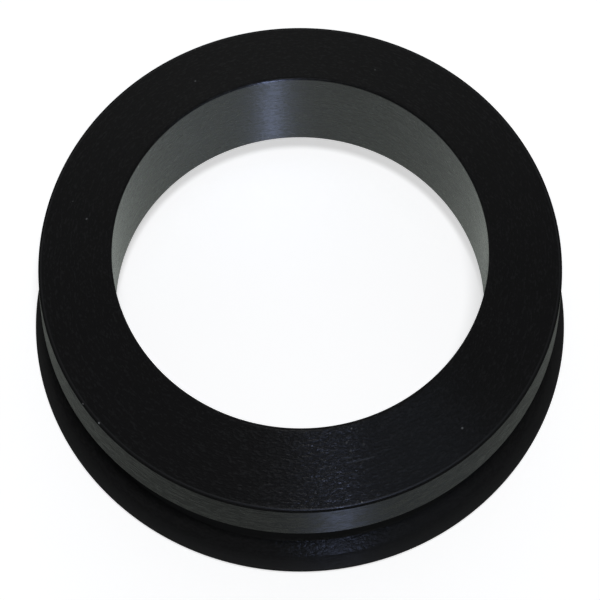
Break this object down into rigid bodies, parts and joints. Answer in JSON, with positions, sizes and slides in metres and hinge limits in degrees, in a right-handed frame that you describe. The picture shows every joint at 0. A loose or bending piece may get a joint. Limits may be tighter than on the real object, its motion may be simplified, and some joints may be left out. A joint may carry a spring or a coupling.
{
  "type": "axial lip oil seal",
  "caption": "Solid rubber ring seal for a rotating shaft, with a wide body, a conical heel and a thin lip that wipes a flat counterface.",
  "frame": {"origin": "on the ring's axis, in the plane of the lip's sealing edge, which the ring rests on", "axes": "+Z along the shaft's axis, from the lip to the heel; X and Y are any two directions square to it, as the ring is round"},
  "size_m": [0.0288, 0.0288, 0.0104],
  "materials": {
    "seal_ring": "black nitrile rubber, turned, satin with fine marks round the axis"
  },
  "bodies": {
    "root": {"seal_ring": "seal_ring"}
  },
  "joints": []
}
